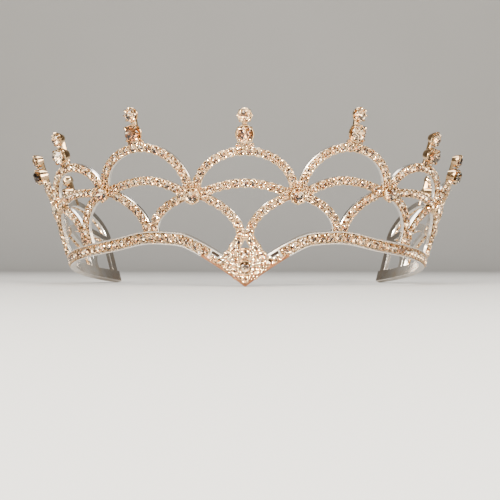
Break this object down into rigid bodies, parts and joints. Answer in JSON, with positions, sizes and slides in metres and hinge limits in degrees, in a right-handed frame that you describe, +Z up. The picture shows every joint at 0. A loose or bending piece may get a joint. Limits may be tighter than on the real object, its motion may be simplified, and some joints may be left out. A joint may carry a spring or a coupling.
{
  "type": "princess crown",
  "caption": "Open flared crown of jewelled metal arches with two-stone finials, round stones at the crossings and a pointed front drop.",
  "frame": {"origin": "on the surface the crown rests on, under the middle of its bounding box", "axes": "+Z up, -Y towards the front point, +X to the right of someone who faces the front; the ring's plane leans back by the height of the front point"},
  "size_m": [0.1724, 0.1288, 0.063],
  "materials": {
    "metal": "bright plated metal, slightly warm",
    "crystal": "clear cut crystal with a silvered back"
  },
  "bodies": {
    "root": {"frame": "metal", "lower_finial_stone_1": "crystal", "lower_finial_stone_2": "crystal", "lower_finial_stone_3": "crystal", "lower_finial_stone_4": "crystal", "lower_finial_stone_5": "crystal", "lower_finial_stone_6": "crystal", "lower_finial_stone_7": "crystal", "lower_finial_stone_8": "crystal", "lower_finial_stone_9": "crystal", "upper_finial_stone_1": "crystal", "upper_finial_stone_2": "crystal", "upper_finial_stone_3": "crystal", "upper_finial_stone_4": "crystal", "upper_finial_stone_5": "crystal", "upper_finial_stone_6": "crystal", "upper_finial_stone_7": "crystal", "upper_finial_stone_8": "crystal", "upper_finial_stone_9": "crystal", "crossing_stone_1": "crystal", "crossing_stone_2": "crystal", "crossing_stone_3": "crystal", "crossing_stone_4": "crystal", "crossing_stone_5": "crystal", "crossing_stone_6": "crystal", "crossing_stone_7": "crystal", "crossing_stone_8": "crystal", "centre_stone": "crystal", "diamond_stones": "crystal", "top_arch_stones": "crystal", "middle_arch_stones": "crystal"}
  },
  "joints": []
}
